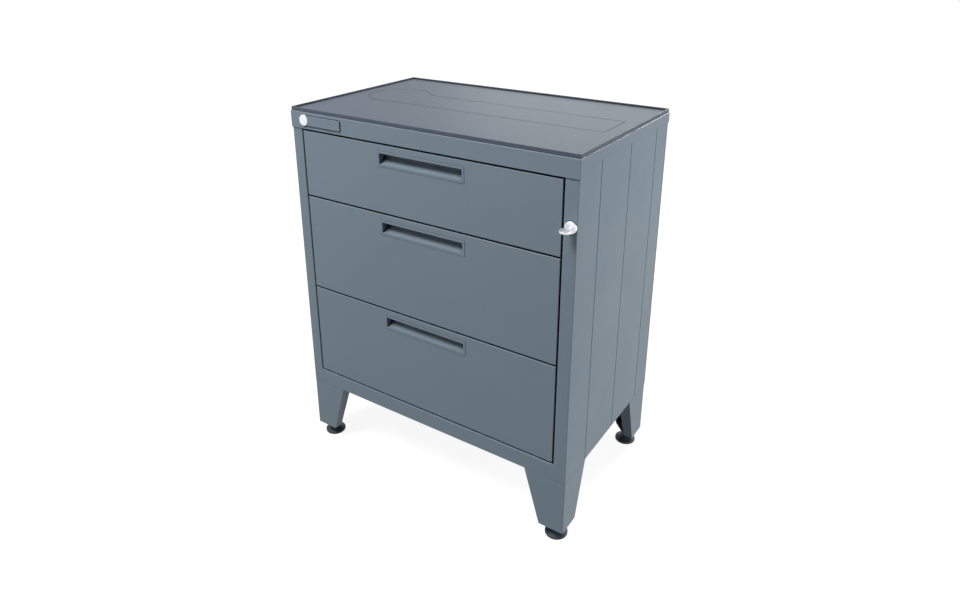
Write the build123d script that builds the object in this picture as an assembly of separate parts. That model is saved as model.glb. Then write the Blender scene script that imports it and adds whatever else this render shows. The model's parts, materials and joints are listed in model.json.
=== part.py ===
from build123d import *
import math
import os

# Floor-standing steel base cabinet with three drawers, in millimetres.
# While it is modelled, the front plane is y = 0, the rear is +y, the floor is z = 0
# and x = 0 is the middle. place() moves all of it so that the origin is under the box's centre.

# Body
body_width = 740.0
body_depth = 456.0
post_width = 29.5
panel_sheet = 1.2
bend_radius = 1.0
post_return = 45.0
rear_flange = 20.0
top_flange = 16.0
rail_height = 39.8
rail_return = 14.0
top_rail_depth = 26.0
top_rail_rise = 1.2
seam_edge = 0.6
base_flange = 20.0
base_tab_front = 60.0
base_tab_gap = 20.0

# Drawers, counted from the top
top_drawer_height = 157.0
deep_drawer_height = 236.0
top_gap = 5.0
drawer_gap = 4.0
side_gap = 3.5
front_thickness = 22.0
drawer_sheet = 1.0
front_flange = 12.0
front_edge_radius = 1.5
box_to_back = 26.0
box_floor_rise = 10.0
box_wall_drop = 30.0
hem_width = 9.0
hem_drop = 7.0
skin_inset = 3.0

# Handle pocket
handle_width = 218.0
handle_height = 24.5
handle_drop = 19.0
pocket_depth = 19.0
pocket_wall = 1.2
pocket_floor_rise = 13.0
pocket_bend_depth = 0.62
pocket_bend_rise = 0.3
handle_frame = 5.5
handle_frame_proud = 0.8
handle_hole_clearance = 0.4

# Slides
slide_to_back = 32.0
slide_front = 24.0
slide_height = 46.0
slide_thickness = 12.7
slide_sheet = 1.2
slide_running_gap = 0.4
slide_web_gap = 2.6
slide_rise = 22.0
slide_screw_from_front = 9.0
drawer_screw_from_end = 30.0
upright_depth = 28.0

# Cap and mat
cap_sheet = 1.5
cap_clearance = 0.5
cap_front_depth = 39.2
cap_side_depth = 23.3
cap_corner_return = 12.0
cap_edge_radius = 2.0
mat_inset = 1.5
mat_height = 8.5
mat_floor = 4.5
mat_lip = 4.0
mat_corner_radius = 3.0
mat_edge_radius = 0.8
grip_from_side = 38.0
grip_head = 78.0
grip_head_rise = 15.0
grip_width = 112.0
grip_corner = 6.0
grip_groove = 1.8
grip_depth = 0.8
grip_setback = 240.0

# Side grooves, at equal steps from the front
groove_first = 97.5
groove_step = 145.0
groove_count = 3
groove_width = 2.2
groove_bottom = 1.4
groove_depth = 0.8

# Legs and feet
leg_height = 134.0
leg_top_width = 100.0
leg_foot_width = 60.0
leg_sheet = 2.0
leg_flange_top = 30.0
leg_flange_foot = 23.0
leg_bolt_near = 18.0
leg_bolt_middle = 45.0
leg_bolt_far = 70.0
leg_to_floor = 32.0
foot_inset = 30.0
foot_radius = 25.75
foot_rim = 6.0
foot_crown = 13.0
foot_hub_radius = 9.0
foot_hub_height = 17.0
foot_edge_radius = 1.2
stud_radius = 5.0
stud_top = 84.0
stud_fit = 0.1
stud_chamfer = 1.0
collar_width = 15.0
nut_height = 8.0
nut_width = 17.0
stop_gap = 0.3

# Lock
lock_from_edge = 13.0
lock_drop = 135.0
lock_face_radius = 12.6
lock_face_proud = 5.0
lock_face_edge = 2.2
barrel_radius = 7.8
barrel_length = 20.0
barrel_fit = 0.1
barrel_nut_width = 19.5
barrel_nut_height = 5.0
core_radius = 5.4
core_fit = 0.06
cam_radius = 10.5
cam_sheet = 2.5
cam_gap = 0.8
pin_radius = 2.0
pin_throw = 7.0
pin_tip = 1.0
pin_clearance = 0.45
key_blade = 1.8
key_blade_width = 7.0
key_fit = 0.1
key_neck = 12.0
key_insert = 13.0
key_bow_radius = 12.0
key_bow_thick = 4.4
key_bow_edge = 1.4
key_bow_hole = 2.2
key_hole_from_tip = 5.0
key_bow_overlap = 5.0
core_recess = 0.4
lock_bar_sheet = 2.5
lock_bar_width = 22.5
lock_bar_shift = 1.8
lock_bar_tail = 22.0
lock_bar_head = 26.0
hook_slot_clearance = 2.0
lock_bar_gap = 3.0
hook_reach = 8.0
hook_height = 12.0
hook_gap = 2.0
catch_below_top = 50.0
catch_height = 14.0
catch_sheet = 2.0
catch_clearance = 1.0
catch_width = 8.5
catch_length = 24.0
guide_height = 12.0
guide_wall = 5.0
guide_clearance = 0.4
guide_from_hook = 4.0
guide_below_middle = 40.0

# Badge on the cap
badge_length = 111.0
badge_height = 23.0
badge_proud = 3.0
badge_from_edge = 42.0
badge_drop = 18.6
badge_corner = 2.0
badge_edge = 0.6
disc_radius = 12.8
disc_proud = 3.8
disc_edge = 0.8
disc_fit = 0.05

# Fasteners
bolt_radius = 4.0
bolt_head_width = 13.0
bolt_head_height = 5.3
bolt_nut_height = 6.5
screw_radius = 1.75
screw_head_radius = 3.2
screw_head_height = 1.8
screw_grip = 4.0
rivet_head_height = 1.2
rivet_edge = 0.7
hole_clearance = 0.15
screw_tip = 1.5
bolt_tip = 2.0
cap_screw_from_end = 80.0
rivet_from_end = 40.0
front_screw_spread = [0.35, 0.85]
screw_head_gap = 0.3

os.makedirs("parts", exist_ok=True)

# Places that follow from the sizes
half_width = body_width / 2
opening_half = half_width - post_width
base_under = leg_to_floor + leg_height
base_top = base_under + panel_sheet
drawer_heights = [top_drawer_height, deep_drawer_height, deep_drawer_height]
stack = sum(drawer_heights) + drawer_gap * len(drawer_heights) + top_gap
cap_top = base_under + rail_height + stack + cap_front_depth
body_top = cap_top - cap_sheet
cap_front_bottom = cap_top - cap_front_depth
rail_top = base_under + rail_height
mat_top = cap_top + mat_height
back_inside = body_depth - panel_sheet
cap_overhang = cap_clearance + cap_sheet
badge_left = badge_from_edge - half_width
badge_middle = cap_top - badge_drop

screw_hole = screw_radius + hole_clearance
front_half = opening_half - side_gap
skin_front = front_thickness
skin_back = front_thickness + drawer_sheet
box_half = opening_half - slide_thickness
box_back = body_depth - box_to_back

drawer_tops = []
level = cap_front_bottom - top_gap
for height in drawer_heights:
    drawer_tops.append(level)
    level -= height + drawer_gap

slide_back = body_depth - slide_to_back
upright_front = slide_back - upright_depth

lock_x = half_width - lock_from_edge
lock_z = cap_top - lock_drop
cam_front = barrel_length + cam_gap
cam_back = cam_front + cam_sheet
bar_front = cam_back + lock_bar_gap
bar_back = bar_front + lock_bar_sheet
bar_drop = 2 * pin_throw * math.sin(math.radians(45))
catch_front = bar_back + hook_gap
catch_tops = [top - catch_below_top for top in drawer_tops]
bar_inner = lock_x - lock_bar_shift - lock_bar_width / 2
bar_outer = bar_inner + lock_bar_width

foot_x = half_width - foot_inset
key_reach = lock_face_proud + key_neck + 2 * key_bow_radius - key_bow_overlap
y_shift = (key_reach - body_depth - cap_overhang) / 2


def place(shape):
    """Move a shape from the modelling axes to the part's own origin."""
    return Pos(0, y_shift, 0) * shape


def write(node, *shapes):
    """Write one node, with each of its pieces as its own solid."""
    solids = [solid for shape in shapes for solid in place(shape).solids()]
    whole = solids[0] if len(solids) == 1 else Compound(children=solids)
    export_step(whole, f"parts/{node}.step")


def block(x0, x1, y0, y1, z0, z1):
    """A box between two corners."""
    middle = Pos((x0 + x1) / 2, (y0 + y1) / 2, (z0 + z1) / 2)
    return middle * Box(abs(x1 - x0), abs(y1 - y0), abs(z1 - z0))


def mirrored(shape):
    """The same shape on the other side of the cabinet."""
    return mirror(shape, about=Plane.YZ)


def prism_x(face, x0, x1):
    """Extrude a face drawn in y, z from x0 to x1."""
    return extrude(Plane.YZ.offset(x0) * face, x1 - x0)


def prism_y(face, y0, y1):
    """Extrude a face drawn in x, z from y0 to y1."""
    return extrude(Plane.XZ.offset(-y1) * face, y1 - y0)


def prism_z(face, z0, z1):
    """Extrude a face drawn in x, y from z0 to z1."""
    return extrude(Plane.XY.offset(z0) * face, z1 - z0)


def polygon(points):
    """A flat face with straight sides."""
    return make_face(Polyline(*points, close=True))


def rod_x(radius, x0, x1, y, z):
    """A round rod along x."""
    return Pos((x0 + x1) / 2, y, z) * Rot(0, 90, 0) * Cylinder(radius, abs(x1 - x0))


def rod_y(radius, x, y0, y1, z):
    """A round rod along y."""
    return Pos(x, (y0 + y1) / 2, z) * Rot(90, 0, 0) * Cylinder(radius, abs(y1 - y0))


def rod_z(radius, x, y, z0, z1):
    """A round rod along z."""
    return Pos(x, y, (z0 + z1) / 2) * Cylinder(radius, abs(z1 - z0))


def hexagon(width):
    """A hexagon, measured across its flats."""
    return RegularPolygon(width / 2, 6, major_radius=False)


def offset_left(points, distance):
    """Shift a path with corners to its left by a distance."""
    normals = []
    for (ax, ay), (bx, by) in zip(points, points[1:]):
        length = math.hypot(bx - ax, by - ay)
        normals.append((-(by - ay) / length, (bx - ax) / length))
    first, last = normals[0], normals[-1]
    moved = [(points[0][0] + first[0] * distance, points[0][1] + first[1] * distance)]
    for (px, py), (ux, uy), (vx, vy) in zip(points[1:], normals, normals[1:]):
        share = distance / (1 + ux * vx + uy * vy)
        moved.append((px + (ux + vx) * share, py + (uy + vy) * share))
    moved.append((points[-1][0] + last[0] * distance, points[-1][1] + last[1] * distance))
    return moved


def folded(points, sheet, bend=bend_radius):
    """Section of a folded sheet whose corners all turn left, given by its outer line."""
    outer = FilletPolyline(*points, radius=bend + sheet)
    inner_points = offset_left(points, sheet)
    inner = FilletPolyline(*reversed(inner_points), radius=bend)
    start = Line(inner_points[0], points[0])
    end = Line(points[-1], inner_points[-1])
    return make_face([outer, end, inner, start])


def side_grooves():
    """Three shallow vertical grooves pressed into the right side wall."""
    cuts = []
    mouth = groove_width - groove_bottom / 2
    for index in range(groove_count):
        y = groove_first + index * groove_step
        face = polygon([
            (half_width + groove_depth, y - mouth),
            (half_width - groove_depth, y - groove_bottom / 2),
            (half_width - groove_depth, y + groove_bottom / 2),
            (half_width + groove_depth, y + mouth),
        ])
        cuts.append(prism_z(face, base_top - 1, body_top + 1))
    return cuts


def slide_middles():
    """Height of the middle of each pair of slides."""
    return [
        top - height + box_floor_rise + slide_rise + slide_height / 2 - slide_sheet
        for top, height in zip(drawer_tops, drawer_heights)
    ]


slide_screw_places = [slide_front + slide_screw_from_front, (upright_front + slide_back) / 2]
inner_screw_places = [slide_front + drawer_screw_from_end, slide_back - drawer_screw_from_end]
cap_screw_places = [cap_screw_from_end, body_depth / 2, body_depth - cap_screw_from_end]
cap_screw_x = half_width - panel_sheet - top_flange / 2
back_rivet_levels = 5
back_rivet_x = half_width - panel_sheet - rear_flange / 2
base_rivet_x = [-opening_half / 2, 0.0, opening_half / 2]
base_rivet_z = base_top + base_flange / 2


def rivet_levels():
    """Heights of the rivets along each rear edge."""
    low, high = base_top + rivet_from_end, body_top - rivet_from_end
    return [low + (high - low) * index / (back_rivet_levels - 1) for index in range(back_rivet_levels)]


def side_panel():
    """Right side: front post with its return, side wall, rear flange and top flange in one sheet."""
    path = [
        (opening_half, post_return),
        (opening_half, 0),
        (half_width, 0),
        (half_width, back_inside),
        (half_width - rear_flange, back_inside),
    ]
    panel = prism_z(folded(path, panel_sheet), base_top, body_top)
    weld = bend_radius + panel_sheet
    panel += block(opening_half, opening_half + weld, 0, weld, base_top, rail_top)
    inside = half_width - panel_sheet
    panel += block(
        inside - top_flange, inside + panel_sheet / 2,
        post_return, back_inside - panel_sheet - bend_radius, body_top - panel_sheet, body_top,
    )
    for cut in side_grooves():
        panel -= cut
    for z in slide_middles():
        panel -= rod_x(screw_hole, opening_half - 1, opening_half + 3, slide_screw_places[0], z)
    for y in cap_screw_places:
        panel -= rod_z(screw_hole, cap_screw_x, y, body_top - 3, body_top + 1)
    for z in rivet_levels():
        panel -= rod_y(screw_radius, back_rivet_x, back_inside - 3, back_inside + 1, z)
    return panel


def lock_openings():
    """Hole for the lock barrel in the right post and slots for the hooks in its return."""
    cuts = [rod_y(barrel_radius + barrel_fit, lock_x, -1, panel_sheet + bend_radius, lock_z)]
    for top in catch_tops:
        low = top + catch_clearance - bar_drop - hook_slot_clearance
        high = top + catch_clearance + hook_height + hook_slot_clearance
        cuts.append(block(
            opening_half - 1, opening_half + 3,
            bar_front - hook_slot_clearance, bar_back + hook_slot_clearance, low, high,
        ))
    return cuts


def base_pan():
    """Floor sheet with the bottom front rail, side tabs and rear flange turned up from it."""
    floor = block(-half_width, half_width, 0, body_depth, base_under, base_top)
    corners = floor.edges().filter_by(Axis.Z).group_by(Axis.Y)[0]
    floor = fillet(corners, bend_radius + panel_sheet)
    rail_path = [(rail_return, rail_top), (0, rail_top), (0, base_under)]
    pan = floor + prism_x(folded(rail_path, panel_sheet), -opening_half, opening_half)
    pan = chamfer(pan.edges().group_by(Axis.Z)[0], seam_edge)
    flange_top = base_top + base_flange
    tab_out = half_width - panel_sheet
    for side in (-1, 1):
        pan += block(
            side * tab_out, side * (tab_out - panel_sheet), base_tab_front, upright_front - base_tab_gap,
            base_under, flange_top,
        )
    pan += block(-opening_half, opening_half, back_inside - panel_sheet, back_inside, base_under, flange_top)
    for x in base_rivet_x:
        pan -= rod_y(screw_radius, x, back_inside - 3, back_inside + 1, base_rivet_z)
    for x, y in all_leg_bolts():
        pan -= rod_z(bolt_radius + hole_clearance, x, y, base_under - 1, base_top + 1)
    return pan


def back_panel():
    """Flat rear sheet between the base and the top."""
    panel = block(-half_width, half_width, back_inside, body_depth, base_top, body_top)
    for x, z in back_rivets():
        panel -= rod_y(screw_radius, x, back_inside - 1, body_depth + 1, z)
    return panel


def back_rivets():
    """Rivets of the back panel, as x, z pairs."""
    places = [(side * back_rivet_x, z) for side in (-1, 1) for z in rivet_levels()]
    return places + [(x, base_rivet_z) for x in base_rivet_x]


def back_rivet_group():
    """Blind rivets along the sides and the base of the back panel."""
    rivets = []
    for x, z in back_rivets():
        shank = rod_y(screw_radius, x, back_inside - panel_sheet, body_depth, z)
        head = rod_y(screw_head_radius, x, body_depth, body_depth + rivet_head_height, z)
        head = fillet(head.edges().group_by(Axis.Y)[-1], rivet_edge)
        rivets.append(shank + head)
    return rivets


def top_front_rail():
    """Channel across the top of the drawer opening, behind the cap's front flange."""
    low = cap_front_bottom + top_rail_rise
    path = [(top_rail_depth, body_top), (0, body_top), (0, low), (top_rail_depth, low)]
    return prism_x(folded(path, panel_sheet), -opening_half, opening_half)


def rear_upright():
    """Right upright channel that carries the rear ends of the slides."""
    inside = half_width - panel_sheet
    path = [
        (inside, slide_back),
        (opening_half, slide_back),
        (opening_half, upright_front),
        (inside, upright_front),
    ]
    upright = prism_z(folded(path, panel_sheet), base_top, body_top - panel_sheet)
    for z in slide_middles():
        upright -= rod_x(screw_hole, opening_half - 1, opening_half + 3, slide_screw_places[1], z)
    return upright


def cap():
    """Folded cap: top sheet, deep front flange that turns the corners, shallow side and rear flanges."""
    x = half_width + cap_overhang
    y0, y1 = -cap_overhang, body_depth + cap_overhang
    outer = block(-x, x, y0, y1, cap_front_bottom, cap_top)
    outer = fillet(outer.edges().filter_by(Axis.Z), cap_edge_radius)
    outer = fillet(outer.edges().group_by(Axis.Z)[-1], cap_edge_radius)
    inner = block(
        -x + cap_sheet, x - cap_sheet, y0 + cap_sheet, y1 - cap_sheet, cap_front_bottom - 1, body_top,
    )
    inner = fillet(inner.edges().filter_by(Axis.Z), cap_edge_radius - cap_sheet)
    shell = outer - inner
    shell -= block(
        -x - 1, x + 1, cap_corner_return - cap_overhang, y1 + 1,
        cap_front_bottom - 1, cap_top - cap_side_depth,
    )
    for x in (-cap_screw_x, cap_screw_x):
        for y in cap_screw_places:
            shell -= rod_z(screw_radius, x, y, body_top - 1, cap_top - cap_sheet / 4)
    return shell


def cap_screws():
    """Screws up through the top flanges into the cap."""
    screws = []
    under = body_top - panel_sheet
    for x in (-cap_screw_x, cap_screw_x):
        for y in cap_screw_places:
            shank = rod_z(screw_radius, x, y, under, cap_top - cap_sheet / 4)
            screws.append(shank + rod_z(screw_head_radius, x, y, under - screw_head_height, under))
    return screws


def grip_panel(reach, inset):
    """Plain flat shape on the mat: a long bar that ends at a round head, drawn in by an inset."""
    head_x = grip_head - reach
    bar = RectangleRounded(reach - head_x - 2 * inset, grip_width - 2 * inset, grip_corner - inset)
    return Pos((reach + head_x) / 2, 0) * bar + Pos(head_x, grip_head_rise) * Circle(grip_head - inset)


def top_mat():
    """Moulded mat with a raised lip and a plain outline sunk into its surface."""
    x = half_width + cap_overhang - mat_inset
    y0, y1 = mat_inset - cap_overhang, body_depth + cap_overhang - mat_inset
    mat = block(-x, x, y0, y1, cap_top, mat_top)
    mat = fillet(mat.edges().filter_by(Axis.Z), mat_corner_radius)
    well = block(-x + mat_lip, x - mat_lip, y0 + mat_lip, y1 - mat_lip, cap_top + mat_floor, mat_top + 1)
    mat -= fillet(well.edges().filter_by(Axis.Z), mat_corner_radius - 1)
    mat = fillet(mat.edges().group_by(Axis.Z)[-1], mat_edge_radius)
    surface = cap_top + mat_floor
    ring = grip_panel(x - grip_from_side, 0) - grip_panel(x - grip_from_side, grip_groove)
    mat -= Pos(0, grip_setback, 0) * prism_z(ring, surface - grip_depth, surface + 1)
    return mat


def leg_bolt_offsets():
    """Bolt places, measured inward from the leg's outer corner."""
    near, middle, far = leg_bolt_near, leg_bolt_middle, leg_bolt_far
    return [(far, near), (near, far), (middle, middle)]


def leg_corners():
    """Name, side and depth direction of each leg: x sign, y of the corner, inward y sign."""
    return [
        ("front_left", -1, 0, 1),
        ("front_right", 1, 0, 1),
        ("rear_left", -1, body_depth, -1),
        ("rear_right", 1, body_depth, -1),
    ]


def all_leg_bolts():
    """Places of the bolts of all four legs, as x, y pairs."""
    return [
        (side * (half_width - u), corner + inward * v)
        for _, side, corner, inward in leg_corners()
        for u, v in leg_bolt_offsets()
    ]


def tapered(inset, z0, z1):
    """Tapering block in the leg's own axes: outer corner at 0, 0 and the leg towards +x, +y."""
    def width_at(z):
        share = (z - leg_to_floor) / leg_height
        return leg_foot_width + (leg_top_width - leg_foot_width) * share - inset

    sections = []
    for z in (z0, z1):
        w = width_at(z)
        sections.append(Plane.XY.offset(z) * polygon([(inset, inset), (w, inset), (w, w), (inset, w)]))
    return loft(sections, ruled=True)


def leg():
    """One folded leg in its own axes, with return flanges, a bolting flange and a foot plate."""
    top = base_under
    outer = tapered(0, leg_to_floor, top)
    corner = outer.edges().sort_by_distance((0, 0, (leg_to_floor + top) / 2))[0]
    bend = bend_radius + leg_sheet
    outer = fillet(corner, bend)
    rims = [
        edge for edge in outer.edges().group_by(Axis.Z)[-1]
        if min(edge.center().X, edge.center().Y) < bend
    ]
    outer = chamfer(rims, seam_edge)
    shell = outer - tapered(leg_sheet, leg_to_floor + leg_sheet, top - leg_sheet)
    reach = leg_top_width + 5
    sections = []
    for flange, z in ((leg_flange_foot, leg_to_floor + leg_sheet), (leg_flange_top, top - leg_sheet)):
        open_side = polygon([(flange, flange), (reach, flange), (reach, reach), (flange, reach)])
        sections.append(Plane.XY.offset(z) * open_side)
    shell -= loft(sections, ruled=True)
    for width, flange, z0, z1 in (
        (leg_foot_width, leg_flange_foot, leg_to_floor - 1, leg_to_floor + leg_sheet + 1),
        (leg_top_width, leg_flange_top, top - leg_sheet - 1, top + 1),
    ):
        clear = polygon([(width, flange), (width + 5, width + 5), (flange, width)])
        shell -= prism_z(clear, z0, z1)
    plate_top = leg_to_floor + leg_sheet
    shell -= rod_z(stud_radius + stud_fit, foot_inset, foot_inset, leg_to_floor - 1, plate_top + 1)
    for u, v in leg_bolt_offsets():
        shell -= rod_z(bolt_radius + hole_clearance, u, v, top - leg_sheet - 1, top + 1)
    return shell


def at_corner(shape, side, corner, inward):
    """Turn a shape from a leg's own axes to its corner of the cabinet."""
    turned = mirror(shape, about=Plane.XZ) if inward < 0 else shape
    turned = Pos(-half_width, corner, 0) * turned
    return mirrored(turned) if side > 0 else turned


def leg_bolts():
    """Bolts up through the legs and the base pan, each with its nut."""
    bolts = []
    under = base_under - leg_sheet
    nut_top = base_top + bolt_nut_height
    for x, y in all_leg_bolts():
        head = Pos(x, y, 0) * prism_z(hexagon(bolt_head_width), under - bolt_head_height, under)
        shank = rod_z(bolt_radius, x, y, under, nut_top + bolt_tip)
        bolts.append(head + shank)
        nut = Pos(x, y, 0) * prism_z(hexagon(bolt_head_width), base_top, nut_top)
        bolts.append(nut - rod_z(bolt_radius, x, y, base_top - 1, nut_top + 1))
    return bolts


def foot_nuts(z0):
    """A nut round each stud, from z0 up."""
    nuts = []
    for _, side, corner, inward in leg_corners():
        nut = prism_z(hexagon(nut_width), z0, z0 + nut_height)
        nut -= rod_z(stud_radius + stud_fit, 0, 0, z0 - 1, z0 + nut_height + 1)
        nuts.append(Pos(side * foot_x, corner + inward * foot_inset, 0) * nut)
    return nuts


def foot_pad(x, y):
    """Round moulded pad with a low crown and a hub."""
    rim = foot_radius - foot_edge_radius
    arc_inset = foot_edge_radius * (1 - math.sqrt(0.5))
    profile = make_face([
        Line((0, 0), (rim, 0)),
        ThreePointArc(
            (rim, 0),
            (foot_radius - arc_inset, arc_inset),
            (foot_radius, foot_edge_radius),
        ),
        Line((foot_radius, foot_edge_radius), (foot_radius, foot_rim - foot_edge_radius)),
        ThreePointArc(
            (foot_radius, foot_rim - foot_edge_radius),
            (foot_radius - arc_inset, foot_rim - arc_inset),
            (rim, foot_rim),
        ),
        Line((rim, foot_rim), (foot_hub_radius, foot_crown)),
        Line((foot_hub_radius, foot_crown), (foot_hub_radius, foot_hub_height)),
        Line((foot_hub_radius, foot_hub_height), (stud_radius, foot_hub_height)),
        Line((stud_radius, foot_hub_height), (stud_radius, foot_rim)),
        Line((stud_radius, foot_rim), (0, foot_rim)),
        Line((0, foot_rim), (0, 0)),
    ])
    return Pos(x, y, 0) * revolve(Plane.XZ * profile, Axis.Z)


def foot_stud(x, y):
    """Threaded stud with the hexagon that a spanner turns."""
    nut_under = leg_to_floor - nut_height
    stud = rod_z(stud_radius, 0, 0, foot_rim, stud_top)
    stud = chamfer(stud.edges().group_by(Axis.Z)[-1], stud_chamfer)
    return Pos(x, y, 0) * (stud + prism_z(hexagon(collar_width), foot_hub_height, nut_under - stop_gap))


def slide_channel(web_out, web_side, reach, half_height, y0, y1):
    """Channel with its web at web_out, thickness towards web_side, flanges reaching to reach."""
    web_in = web_out + web_side * slide_sheet
    channel = block(min(web_out, web_in), max(web_out, web_in), y0, y1, -half_height, half_height)
    low, high = min(web_out, reach), max(web_out, reach)
    channel += block(low, high, y0, y1, half_height - slide_sheet, half_height)
    channel += block(low, high, y0, y1, -half_height, slide_sheet - half_height)
    return channel


def slide_members(z):
    """Cabinet, middle and drawer members of the right slide at height z."""
    half = slide_height / 2
    step = slide_sheet + slide_running_gap
    web_step = slide_sheet + slide_web_gap
    outer_end = box_half + step + slide_running_gap
    outer = slide_channel(opening_half, -1, outer_end, half, slide_front, slide_back)
    middle_web = opening_half - web_step
    middle = slide_channel(middle_web, -1, box_half + step, half - step, slide_front, slide_back)
    inner_reach = middle_web - slide_sheet - slide_running_gap
    inner = slide_channel(box_half, 1, inner_reach, half - 2 * step, slide_front, slide_back)
    for y in slide_screw_places:
        outer -= rod_x(screw_hole, opening_half - 3, opening_half + 1, y, 0)
    for y in inner_screw_places:
        inner -= rod_x(screw_hole, box_half - 1, box_half + 3, y, 0)
    return [Pos(0, 0, z) * member for member in (outer, middle, inner)]


def slide_screws():
    """Screws that hold the cabinet members to the posts and uprights."""
    screws = []
    web_face = opening_half - slide_sheet
    for z in slide_middles():
        for y in slide_screw_places:
            head = rod_x(screw_head_radius, web_face - screw_head_height, web_face, y, z)
            screw = head + rod_x(screw_radius, web_face, opening_half + panel_sheet + screw_tip, y, z)
            screws += [screw, mirrored(screw)]
    return screws


def handle_base(top):
    """Height of the lower edge of the handle's opening."""
    return top - handle_drop - handle_height


def drawer_front(top, height):
    """Folded front pan with returns at its back and a hole for the handle pocket."""
    bottom = top - height
    pan = block(-front_half, front_half, 0, front_thickness, bottom, top)
    pan = fillet(pan.edges().group_by(Axis.Y)[0], front_edge_radius)
    pan -= block(
        -front_half + drawer_sheet, front_half - drawer_sheet, drawer_sheet, front_thickness - drawer_sheet,
        bottom + drawer_sheet, top - drawer_sheet,
    )
    pan -= block(
        -front_half + front_flange, front_half - front_flange, front_thickness - 2, front_thickness + 1,
        bottom + front_flange, top - front_flange,
    )
    grown = pocket_wall + handle_hole_clearance
    low = handle_base(top) - grown
    pan -= block(
        -handle_width / 2 - grown, handle_width / 2 + grown, -1, drawer_sheet + 2,
        low, low + handle_height + 2 * grown,
    )
    for x, z in front_screw_places(top, height):
        pan -= rod_y(screw_radius, x, front_thickness - 3, front_thickness + 1, z)
    return pan


def handle_profile(wall, front):
    """Side section of the finger pocket, grown by a wall thickness, up from the opening's lower edge."""
    depth = pocket_depth + wall
    rise = pocket_floor_rise
    return make_face([
        Line((front, handle_height + wall), (front, -wall)),
        Line((front, -wall), (0, -wall)),
        ThreePointArc(
            (0, -wall),
            (depth * pocket_bend_depth, (rise + wall) * pocket_bend_rise - wall),
            (depth, rise),
        ),
        Line((depth, rise), (depth, handle_height + wall)),
        Line((depth, handle_height + wall), (front, handle_height + wall)),
    ])


def drawer_handle(top):
    """Recessed pull: a thin frame on the face and a pocket with a curved floor behind it."""
    half = handle_width / 2
    frame = block(
        -half - handle_frame, half + handle_frame, -handle_frame_proud, 0,
        -handle_frame, handle_height + handle_frame,
    )
    frame = fillet(frame.edges().group_by(Axis.Y)[0], handle_frame_proud / 2)
    pocket = prism_x(handle_profile(pocket_wall, -0.1), -half - pocket_wall, half + pocket_wall)
    pull = frame + pocket
    pull -= prism_x(handle_profile(0, -handle_frame_proud - 1), -half, half)
    return Pos(0, 0, handle_base(top)) * pull


def box_levels(top, height):
    """Underside and rim of a drawer's box."""
    return top - height + box_floor_rise, top - box_wall_drop


def drawer_box(top, height):
    """Open tray with a hemmed rim, welded to the inner skin that closes the front pan."""
    low, high = box_levels(top, height)
    t = drawer_sheet
    tray = block(-box_half, box_half, skin_front, box_back, low, high)
    tray -= block(-box_half + t, box_half - t, skin_back, box_back - t, low + t, high + 1)
    hem_in = box_half - hem_width
    hem = block(-box_half, box_half, skin_front, box_back, high - t, high)
    hem += block(-hem_in - t, hem_in + t, skin_front, box_back - hem_width + t, high - hem_drop, high)
    hem -= block(-hem_in, hem_in, skin_front - 1, box_back - hem_width, high - hem_drop - 1, high + 1)
    tray += hem
    skin_half = front_half - skin_inset
    tray += block(-skin_half, skin_half, skin_front, skin_back, top - height + skin_inset, top - skin_inset)
    for x, z in front_screw_places(top, height):
        tray -= rod_y(screw_hole, x, skin_front - 1, skin_back + 1, z)
    middle = slide_middles()[drawer_tops.index(top)]
    for side in (-1, 1):
        for y in inner_screw_places:
            tray -= rod_x(screw_hole, side * (box_half - 2), side * (box_half + 1), y, middle)
    return tray


def front_screw_places(top, height):
    """Screws along the top and bottom returns of a front, as x, z pairs."""
    top_row = top - (front_flange + skin_inset) / 2
    bottom_row = top - height + box_floor_rise - screw_head_radius - screw_head_gap
    return [
        (side * opening_half * share, z)
        for z in (top_row, bottom_row)
        for share in front_screw_spread
        for side in (-1, 1)
    ]


def drawer_screws(top, height, middle):
    """Screws of one drawer: front to skin, and slide members to the box."""
    screws = []
    for x, z in front_screw_places(top, height):
        head = rod_y(screw_head_radius, x, skin_back, skin_back + screw_head_height, z)
        screws.append(head + rod_y(screw_radius, x, skin_back - screw_grip, skin_back, z))
    web_face = box_half + slide_sheet
    for y in inner_screw_places:
        head = rod_x(screw_head_radius, web_face, web_face + screw_head_height, y, middle)
        screw = head + rod_x(screw_radius, box_half - drawer_sheet - screw_tip, web_face, y, middle)
        screws += [screw, mirrored(screw)]
    return screws


def drawer_catch(top):
    """Bent tab on the right wall of the box that a hook of the lock bar drops in front of."""
    high = top - catch_below_top
    low = high - catch_height
    tab = block(box_half, box_half + catch_width, catch_front, catch_front + catch_sheet, low, high)
    return tab + block(box_half, box_half + catch_sheet, catch_front, catch_front + catch_length, low, high)


def lock_barrel():
    """Round lock face with its threaded barrel, bored for the core."""
    face = rod_y(lock_face_radius, lock_x, -lock_face_proud, 0, lock_z)
    face = fillet(face.edges().group_by(Axis.Y)[0], lock_face_edge)
    barrel = face + rod_y(barrel_radius, lock_x, 0, barrel_length, lock_z)
    return barrel - rod_y(core_radius + core_fit, lock_x, -lock_face_proud - 1, barrel_length + 1, lock_z)


def lock_barrel_nut():
    """Nut that holds the barrel behind the post's face."""
    nut = prism_y(hexagon(barrel_nut_width), panel_sheet, panel_sheet + barrel_nut_height)
    nut = Pos(lock_x, 0, lock_z) * nut
    return nut - rod_y(barrel_radius, lock_x, 0, barrel_length, lock_z)


def lock_core():
    """Plug that the key turns, with a keyway and a square end for the cam."""
    front = core_recess - lock_face_proud
    core = rod_y(core_radius, lock_x, front, cam_front, lock_z)
    slot_half = key_blade_width / 2 + key_fit
    high = key_blade / 2 + key_fit
    core -= block(
        lock_x - slot_half, lock_x + slot_half, front - 1, front + key_insert + key_fit,
        lock_z - high, lock_z + high,
    )
    return core


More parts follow.
